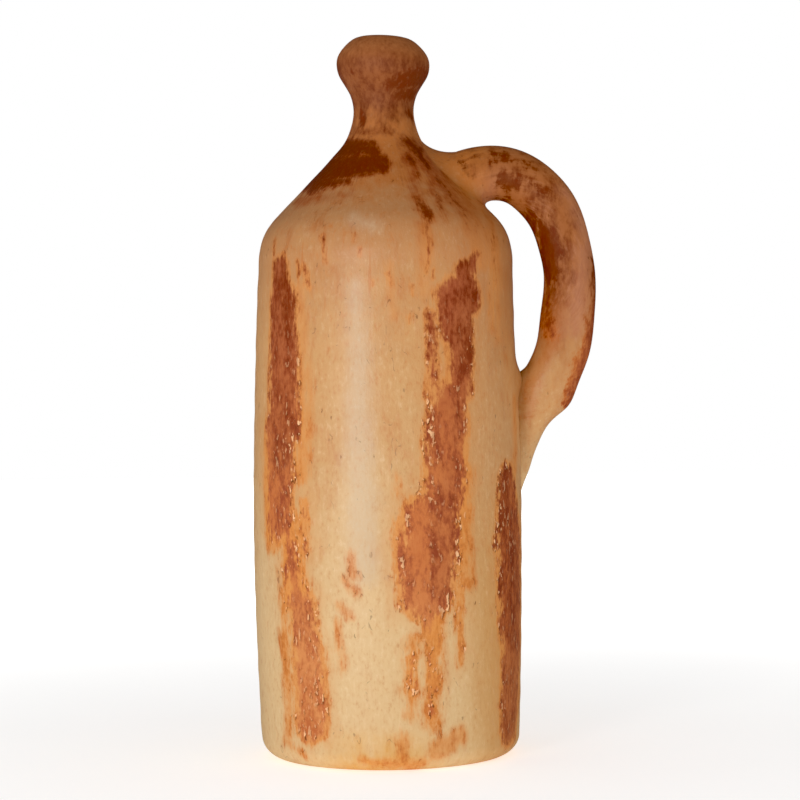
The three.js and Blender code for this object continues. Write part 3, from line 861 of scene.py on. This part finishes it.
class Slip(Finish):
    """Burnished cream slip with ragged streaks of red slip brushed over it, worn, flaked and pitted. Its
    tones darken towards the top, partly as painted shade, and its flakes carry a painted highlight and
    shadow.
    """

    BRICK_SHARE = 0.6  # how far the red goes to brick on the side of the handle
    SHEEN = 0.4

    def __init__(self, name):
        super().__init__(bpy.data.materials.new(name))
        self.spot = self.place()
        self.x, self.y, self.height = [
            self.node("ShaderNodeSeparateXYZ", {}, {0: self.spot}, axis) for axis in "XYZ"
        ]
        self.drift = self.noise(self.spot, (17, 17, 45), 3.0)
        self.clouds = self.noise(self.spot, (30, 30, 60), 3.0)
        self.blots = self.noise(self.spot, (6, 6, 12), 4.0, 0.6)
        self.crumbs = self.noise(self.spot, (1.9, 1.9, 3.2), 3.0, 0.65)
        self.hairs = self.brush_marks()
        self.grain = self.hairs * 0.15 + self.crumbs * 0.35 + self.blots * 0.45
        self.soft = self.blots * 0.4 + self.drift * 0.3 + self.crumbs * 0.12
        # The slip's tones, cream and red alike, darken from low to upper: partly their own colour, partly
        # painted shade
        self.low = 1 - self.height.rise(110, 235)
        self.upper = self.height.rise(225, 285)
        torn = self.crumbs * (0.4 + self.low * 0.4)
        self.ragged = self.hairs * 1.3 + torn + self.blots * (0.7 + self.low * 0.5)

    def brush_marks(self):
        """Marks of the brush: upright on the wall, down the slope of the shoulder, and dabs on the neck."""
        flat = self.vector("MULTIPLY", self.spot, (1, 1, 0))
        outward = self.vector("MULTIPLY", self.vector("NORMALIZE", flat, flat), (BRUSHED, BRUSHED, 0))
        upright = self.vector("ADD", outward, self.vector("SUBTRACT", self.spot, flat))
        marks = self.noise(upright, (1.4, 1.4, 10), 4.0, 0.65)
        dabs = self.noise(self.spot, (3, 3, 4.5), 4.0, 0.6)
        return marks + (dabs - marks) * self.height.rise(280, 302)

    def ground(self, warm_tone_and_shade, tan_tone_and_shade):
        """Cream slip, going to honey and tan, and to toast high up, which darken it towards the top partly
        as painted shade; finely mottled, stained and with faint upright drips.
        """
        base = self.mix(warm_tone_and_shade, CREAM, HONEY)
        base = self.mix(tan_tone_and_shade, base, TAN)
        # Toast high up: partly the slip's own colour, partly painted shade that darkens the top
        toast_and_shade = (self.height + self.x * 0.12 + self.grain * 16 + self.blots * 6).rise(257, 287)
        base = self.mix(toast_and_shade * 0.85, base, TOAST)
        speckle = self.crumbs * 0.6 + self.hairs * 0.3
        base = self.mix(speckle.rise(0.0, 1.0) * (0.24 + self.low * 0.16 - self.upper * 0.1), base, PALE)
        base = self.mix((0 - speckle).rise(0.0, 1.0) * 0.52, base, RUST)
        stain = (self.hairs * 0.5 + self.drift * 0.5 + self.blots * 0.6).rise(0.15, 1.05)
        stain = stain * (0.35 + self.upper * (0.3 + self.x.rise(0, 40) * 0.2))
        base = self.mix(stain, base, self.mix(self.upper, RUST, CHESTNUT))
        drips = self.noise(self.spot, (2.6, 2.6, 40), 3.0).rise(0.5, 0.95) * self.height.rise(190, 235)
        return self.mix(drips * (1 - self.upper) * 0.5, base, RUST)

    def brushed(self, base, thin, reach, wash, heavy_and_shade, cover, flaking):
        """Red slip over the ground: a thin film at the rim of each stroke, and the full red inside, darker
        where it lies heavy, which on the right streak of the pot is partly painted shade.
        """
        halo = (reach + self.blots * 3 + self.clouds * 2).rise(-9, 0)
        film = reach.rise(-1.5, 1.1)
        worn = (self.blots * 2.4 + self.drift * 1.6) * self.low
        core = (reach - self.low * 1.2 + worn + self.crumbs * 0.8).rise(-0.4, 3.4 - self.upper * 1.2)
        faint = halo * (0.1 + self.low * 0.15) + wash * (0.55 + self.low * 0.35 + self.upper * 0.3)
        base = self.mix(faint * (0.8 + self.grain * 0.5), base, thin)
        painted = self.mix(film * (0.85 + self.grain * 0.4), base, thin)
        shade = (self.grain * 1.1 + self.drift * 0.3 + 0.4 + heavy_and_shade * 0.15).rise(0, 1)
        # The red goes from light red low down to maroon high up, darker upward partly as painted shade
        red = self.mix(shade, self.mix(self.low, RED, LIGHT_RED), self.mix(self.low, DEEP_RED, RED))
        # Paler red at the very bottom: partly a paler slip, partly painted light
        faded_and_lit = (1 - self.height.rise(40, 105)) * (1 - heavy_and_shade * 0.7)
        red = self.mix(faded_and_lit * 0.8, red, self.mix(shade, FADED_AND_LIT_RED, LIGHT_RED))
        red = self.mix(heavy_and_shade * 0.3, red, self.mix(shade, RED, DEEP_RED))
        red = self.mix(self.x.rise(44, 56) * self.BRICK_SHARE, red, self.mix(shade, BRICK, DEEP_RED))
        red = self.mix(self.upper, red, self.mix((self.grain * 0.6 + 0.3).rise(0, 1), MAROON, DEEP_RED))
        painted = self.mix(core * (cover + self.grain * 0.25), painted, red)
        return self.flaked(painted, film * flaking, reach)

    def flaked(self, painted, film, reach):
        """Red slip with small curled flakes, mostly near the rims of the strokes, each pale flake partly a
        painted highlight, with a painted shadow beside it.
        """
        rims = film * (1 - (reach + self.blots * 3).rise(3, 9) * 0.6)
        rims = rims * (1 - self.height.rise(165, 232) * 0.95)
        clusters = (self.blots * 0.8 + self.drift * 0.4 + 0.2).rise(0, 0.6) * rims
        curl = (1.6, 1.6, 3.3)
        pale_and_lit_ridges = self.noise(self.spot, curl, 2.0)
        shades = self.noise(self.vector("ADD", self.spot, (-0.5, 0, 0.5)), curl, 2.0)
        # Painted shadow beside each flake, and a pale ridge that is partly the cream beneath and partly a
        # painted highlight
        painted = self.mix(shades.rise(0.3, 0.55) * clusters * 0.8, painted, PIT_AND_SHADOW)
        return self.mix(pale_and_lit_ridges.rise(0.4, 0.6) * clusters, painted, PEACH)

    def surface(self, painted, dull):
        """Pits and hair cracks in the finished slip, and its burnish, which may go dull."""
        shaken = self.node("ShaderNodeCombineXYZ", {}, {"X": self.crumbs, "Y": self.crumbs, "Z": self.hairs})
        pits = self.spots(self.vector("ADD", self.spot, shaken), (5, 5, 13), 0.1, 0.7)
        crawl = self.noise(self.spot, (9, 9, 15), 2.0)
        cracks = (0.05 - abs(crawl)).rise(0, 0.05) * (self.blots + self.crumbs * 0.6).rise(0.35, 0.8)
        painted = self.mix((pits * 0.65).larger(cracks * 0.45), painted, PIT_AND_SHADOW)
        relief = self.hairs * 0.12 + self.crumbs * 0.22 - pits * 0.4 - cracks * 0.4
        dents = {"Strength": 0.6, "Distance": 0.0003, "Height": relief}
        bump = self.node("ShaderNodeBump", {}, dents, "Normal")
        rough = 0.42 + self.crumbs * 0.05 + pits * 0.2 + dull * 0.25
        gloss = {"Base Color": painted, "Roughness": rough, "Normal": bump, "Specular IOR Level": self.SHEEN}
        self.fill(self.shader, gloss)
        return self.holder


def pot_slip(name, low, high):
    """The slip of the pot between two heights: brown on the neck, yellow at the front of the foot. It
    darkens towards the top partly as painted shade, and carries a painted sheen down the front, a painted
    highlight on the top of the lip and painted light in a golden tint low on the right.
    """
    slip = Slip(name)
    turn = slip.node("ShaderNodeMath", {"operation": "ARCTAN2"}, {0: slip.x, 1: 0 - slip.y})
    limits = {"Value": slip.height, "Min": CANVAS_SHOULDER, "Max": CANVAS_NECK}
    taper = (slip.node("ShaderNodeClamp", {}, limits) - CANVAS_SHOULDER) * CANVAS_TAPER
    sideways = turn * (CANVAS_RADIUS - taper) + slip.drift * 1.2
    upward = slip.height + slip.clouds * 2 * (1 - slip.upper)
    canvas = slip.node("ShaderNodeCombineXYZ", {}, {"X": sideways, "Y": upward})
    streaks = LEFT_STREAK + MIDDLE_STREAK + RIGHT_STREAK + BACK_STREAKS + DRIPS
    streaks = on_canvas(streaks + SHOULDER_PATCHES + NECK_PATCHES, low, high)
    reach = slip.strokes(canvas, streaks) + slip.ragged
    wash = (slip.strokes(canvas, on_canvas(WASHES, low, high)) + slip.ragged * 1.3).rise(-2.5, 3)
    rub_and_sheen = (slip.strokes(canvas, on_canvas(SHEEN_AND_PALE_RUBS, low, high)) + slip.blots * 2 + slip.hairs).rise(-6, 5)

    # Honey, tan, toast and the neck's brown darken the ground towards the top: partly the slip's own colour,
    # partly painted shade
    aside = slip.x.rise(26, 50)
    warm_tone_and_shade = (slip.height + slip.clouds * 25 + slip.drift * 15 + aside * 110).rise(50, 190)
    tan_tone_and_shade = (slip.height + slip.clouds * 12 + slip.grain * 25 + aside * 25).rise(185, 262)
    base = slip.ground(warm_tone_and_shade, tan_tone_and_shade)
    foot = (1 - slip.height.rise(4, 26)) * (1 - abs(slip.x + 4).rise(8, 34)) * (0 - slip.y).rise(0, 30)
    # A golden tint low on the right: partly the slip's colour, partly painted light that brightens that side
    golden_and_lit = aside * (1 - slip.height.rise(60, 150)) * 0.3
    base = slip.mix((foot * (slip.blots * 0.4 + 0.6)).larger(golden_and_lit), base, STRAW)
    base = slip.mix(slip.x.rise(5, 40) * slip.height.rise(100, 180) * 0.15, base, RUST)
    # Painted sheen: a milky highlight down the front of the wall, with a few small pale rubs
    base = slip.mix(rub_and_sheen * (0.5 + slip.crumbs * 0.15), base, MILKY_SHEEN)
    brown = slip.mix((slip.soft + slip.crumbs * 0.15 + 0.5).rise(0, 1), CHESTNUT, BROWN)
    # Painted light: the top of the lip is made lighter, standing in for light falling on it from above
    lip_top_highlight = (slip.height + slip.blots * 2).rise(335, 345) * (0.75 - slip.crumbs * 0.25)
    brown = slip.mix(lip_top_highlight, brown, SADDLE)
    base = slip.mix((slip.height + slip.blots * 5).rise(300, 320), base, brown)
    thin = slip.mix((slip.grain * 0.7 + 0.3).rise(0, 1), ORANGE, RUST)
    thin = slip.mix(slip.height.rise(110, 200) * 0.25, thin, TAN)
    thin = slip.mix(slip.upper, thin, slip.mix(slip.height.rise(285, 310), UMBER, brown))
    # Second coats darken the red; on the right streak they are partly painted shade
    twice_and_shade = (slip.strokes(canvas, on_canvas(SECOND_COATS_AND_SHADE, low, high)) + slip.ragged * 0.8).rise(-3, 3)
    painted = slip.brushed(base, thin, reach, wash, twice_and_shade, 0.92, 1)
    return slip.surface(painted, slip.height.rise(270, 315))


# Brush strokes on the handle: place out and up of the start and the end, then half widths
HANDLE_STREAKS = [
    ((36, 287), (48, 292), 0.4, 0.8),
    ((54, 293), (66, 292), 1.2, 0.8),
    ((52, 288), (72, 288), 1, 1.4),
    ((66, 281), (80, 273), 1, 1.6),
    ((58, 279), (63, 276), 4.5, 4),
    ((70, 285), (75, 283), 2.5, 2),
    ((56, 270), (72, 262), 1.5, 2.5),
    ((72, 262), (80, 250), 2.5, 4),
    ((80, 250), (81, 234), 6, 5),
    ((79, 230), (78, 206), 1, 1.6),
    ((79, 211), (81, 204), 3, 2),
    ((103, 243), (102.5, 219), 1, 3.5),
    ((102.5, 219), (100, 203), 3.5, 5),
    ((100, 203), (89, 173), 5, 3.5),
]
HANDLE_WASHES = [
    ((46, 286), (70, 284), 6, 9),
    ((74, 280), (88, 258), 8, 7),
    ((84, 256), (87, 230), 6, 5),
    ((85, 230), (80, 200), 5, 4),
    ((81, 200), (70, 180), 4, 3),
    ((72, 186), (69, 164), 2, 1.5),
]
# Pale rubs on the handle, mostly on its outer side: partly rubbed slip, partly a painted sheen
HANDLE_RUBS_AND_SHEEN = [
    ((88, 274), (100, 248), 2, 3),
    ((97, 244), (93, 206), 4, 4),
    ((50, 272), (57, 281), 2, 2),
]


# Middle and radius of the handle's arch
ARCH_X = 62
ARCH_HEIGHT = 238
ARCH_RADIUS = 38


class HandleSlip(Slip):
    """The same slip, brushed along the arch of the handle."""

    BRICK_SHARE = 0.15
    SHEEN = 0.27

    def __init__(self, name):
        super().__init__(name)
        self.upper = self.height.rise(190, 240)

    def brush_marks(self):
        out = self.x - ARCH_X
        rise = self.height - ARCH_HEIGHT
        swing = self.node("ShaderNodeMath", {"operation": "ARCTAN2"}, {0: rise, 1: out})
        spoke = self.node("ShaderNodeCombineXYZ", {}, {"X": out, "Y": rise})
        away = self.vector("LENGTH", spoke, (0, 0, 0), "Value")
        along = self.node("ShaderNodeCombineXYZ", {}, {"X": away, "Y": self.y, "Z": swing * ARCH_RADIUS})
        return self.noise(along, (1.6, 1.6, 9), 4.0, 0.65)


def handle_slip():
    """The slip of the handle: brown over the arch, cream down to its tail."""
    slip = HandleSlip("handle_slip")
    upward = slip.height + slip.blots * 1.5 + 4 - abs(slip.y) * 0.4
    canvas = slip.node("ShaderNodeCombineXYZ", {}, {"X": slip.x + slip.blots, "Y": upward})
    reach = slip.strokes(canvas, HANDLE_STREAKS) + slip.ragged + slip.blots * 1.5
    wash = (slip.strokes(canvas, HANDLE_WASHES) + slip.ragged * 1.3).rise(-2.5, 3)
    rub_and_sheen = (slip.strokes(canvas, HANDLE_RUBS_AND_SHEEN) + slip.blots * 2 + slip.hairs).rise(-6, 5)
    tan_tone_and_shade = (slip.height + slip.clouds * 12 + slip.grain * 25).rise(145, 240)
    base = slip.ground(slip.height.rise(110, 170), tan_tone_and_shade)
    brown = slip.mix((slip.soft + slip.grain * 0.8 + 0.35).rise(0, 1), SADDLE, CHESTNUT)
    brown = slip.mix((slip.hairs * 0.6 + slip.blots * 0.6).rise(0, 0.9) * 0.6, brown, UMBER)
    # Pinkish mottling: partly the slip's tone, partly painted sheen in place of the burnish's pale veil
    brown = slip.mix((slip.drift * 0.5 - slip.hairs * 0.6).rise(0.2, 1.0) * 0.4, brown, DUSK_AND_SHEEN)
    # Browner towards the top of the handle
    top_brown = (slip.height + slip.blots * 8).rise(175, 235) * (slip.x + slip.blots * 5).rise(42, 60)
    base = slip.mix(top_brown, base, brown)
    # Painted sheen with the pale rubs: a pinkish highlight down the outer side of the handle, partly rubbed
    # slip
    base = slip.mix(rub_and_sheen * (0.5 + slip.grain * 0.2), base, DUSK_AND_SHEEN)
    thin = slip.mix((slip.soft + slip.grain * 0.6 + 0.25).rise(0, 1), CHESTNUT, BROWN)
    thin = slip.mix(slip.height.rise(195, 235), RUST, thin)
    painted = slip.brushed(base, thin, reach, wash * 0.65, top_brown * 0.5, 0.8, 0.15)
    return slip.surface(painted, top_brown * 0.7)


def bare_clay():
    """Unglazed clay inside the pot and in its seams, with fine grit and turning marks."""
    finish = Finish(bpy.data.materials.new("bare_clay"))
    place = finish.place()
    clouds = finish.noise(place, (24, 24, 12), 3.0)
    grit = finish.noise(place, (0.9, 0.9, 0.9), 2.0)
    rings = finish.noise(place, (40, 40, 1.8), 2.0)
    shade = (clouds * 0.4 + rings * 0.3 + grit * 0.3 + 0.5).rise(0, 1)
    tone = finish.mix(shade, colour(170, 98, 58), colour(206, 142, 94))
    specks = finish.spots(finish.vector("ADD", place, (1.3, 2.1, 0.9)), (4, 4, 4), 0.12, 0.35)
    tone = finish.mix(specks * 0.6, tone, PIT_AND_SHADOW)
    relief = grit * 0.5 + rings * 0.6 - specks
    dents = {"Strength": 0.5, "Distance": 0.0004, "Height": relief}
    bump = finish.node("ShaderNodeBump", {}, dents, "Normal")
    finish.fill(finish.shader, {"Base Color": tone, "Roughness": 0.8 + grit * 0.05, "Normal": bump})
    return finish.holder


# Studio, in metres and degrees
CAMERA_PLACE = (0.0064, -1.1, 0.173)
CAMERA_ROLL = 0.74
CAMERA_LENS = 100.8  # millimetres
CAMERA_SENSOR = 36  # millimetres
LIGHTS_AIM = (0, 0, 0.18)
SOFT_LIGHT = 0.4  # strength of the surroundings as a light
DIM_LIGHT = 0.1  # their strength where they are mirrored
FILM_BLACK = 0.02
FLOOR_REACH = 4.0


def make_camera():
    """The photograph's camera: level with the middle of the pot, and tipped a little to one side."""
    lens = bpy.data.cameras.new("camera")
    lens.sensor_width = CAMERA_SENSOR
    lens.lens = CAMERA_LENS
    camera = bpy.data.objects.new("camera", lens)
    camera.location = CAMERA_PLACE
    camera.rotation_euler = (math.radians(90), math.radians(CAMERA_ROLL), 0)
    bpy.context.scene.collection.objects.link(camera)
    bpy.context.scene.camera = camera


def make_light(name, place, size, power, mirrored):
    """A soft light of a size, turned to the middle of the pot, that may be mirrored in its burnish."""
    lamp = bpy.data.lights.new(name, "AREA")
    lamp.shape = "RECTANGLE"
    lamp.size, lamp.size_y = size
    lamp.energy = power
    light = bpy.data.objects.new(name, lamp)
    light.location = place
    light.visible_glossy = mirrored
    light.rotation_euler = (Vector(LIGHTS_AIM) - Vector(place)).to_track_quat("-Z", "Y").to_euler()
    bpy.context.scene.collection.objects.link(light)


def make_world():
    """White surroundings, softer as a light than they look behind the pot, and dim in its burnish."""
    studio = Finish(bpy.data.worlds.new("studio"), "Background")
    seen = studio.node("ShaderNodeLightPath", {}, {}, "Is Camera Ray")
    mirrored = studio.node("ShaderNodeLightPath", {}, {}, "Is Glossy Ray")
    strength = SOFT_LIGHT + seen * (1 - SOFT_LIGHT) - mirrored * (SOFT_LIGHT - DIM_LIGHT)
    studio.fill(studio.shader, {"Color": (1, 1, 1, 1), "Strength": strength})
    bpy.context.scene.world = studio.holder


def set_film():
    """Plain colours with deep blacks, as in a contrasty print."""
    film = bpy.context.scene.view_settings
    film.view_transform = "Standard"
    film.use_curve_mapping = True
    film.curve_mapping.black_level = (FILM_BLACK, FILM_BLACK, FILM_BLACK)
    film.curve_mapping.update()


def studio_paper():
    """Plain pale paper, lit up with distance so that it runs out into the white surroundings."""
    finish = Finish(bpy.data.materials.new("studio_paper"))
    place = finish.place()
    mottle = finish.noise(place, (90, 90, 90)) * 0.2 + 0.5
    tone = finish.mix(mottle, colour(246, 245, 243), colour(252, 251, 250))
    far = finish.vector("LENGTH", place, (0, 0, 0), "Value").rise(100, 1200)
    glow = finish.mix(far, colour(190, 190, 190), colour(255, 255, 255))
    sockets = {"Base Color": tone, "Roughness": 0.9, "Emission Color": glow, "Emission Strength": 1.0}
    finish.fill(finish.shader, sockets)
    return finish.holder


def make_floor():
    mesh = bpy.data.meshes.new("floor")
    corners = [(x * FLOOR_REACH, y * FLOOR_REACH, 0) for x, y in ((-1, -1), (1, -1), (1, 1), (-1, 1))]
    mesh.from_pydata(corners, [], [(0, 1, 2, 3)])
    mesh.materials.append(studio_paper())
    floor = bpy.data.objects.new("floor", mesh)
    bpy.context.scene.collection.objects.link(floor)
    floor.visible_glossy = False


def make_studio():
    """A pale floor, white surroundings and soft lights."""
    make_world()
    set_film()
    make_floor()
    make_light("window", place=(-0.68, -1.4, 0.22), size=(0.36, 0.5), power=7.5, mirrored=True)
    make_light("fill", place=(1.4, -1.0, 0.6), size=(1.0, 1.0), power=1.5, mirrored=False)


def make_carafe():
    clay = bare_clay()
    wall_finishes = [pot_slip("wall_slip", 0, SHOULDER_SEAM), clay]
    shoulder_finishes = [pot_slip("shoulder_slip", SHOULDER_SEAM, NECK_SEAM), clay]
    neck_finishes = [pot_slip("neck_slip", NECK_SEAM, LIP_TOP), clay]
    handle_finishes = [handle_slip()]
    make_base(wall_finishes)
    make_ring("body_wall", FLOOR_SEAM, SHOULDER_SEAM, wall_finishes)
    make_ring("shoulder", SHOULDER_SEAM, NECK_SEAM, shoulder_finishes)
    make_ring("neck", NECK_SEAM, LIP_SEAM, neck_finishes)
    make_lip(neck_finishes)
    make_handle(handle_finishes)
    make_collar(handle_finishes)
    make_tail(handle_finishes)


make_camera()
make_studio()
make_carafe()
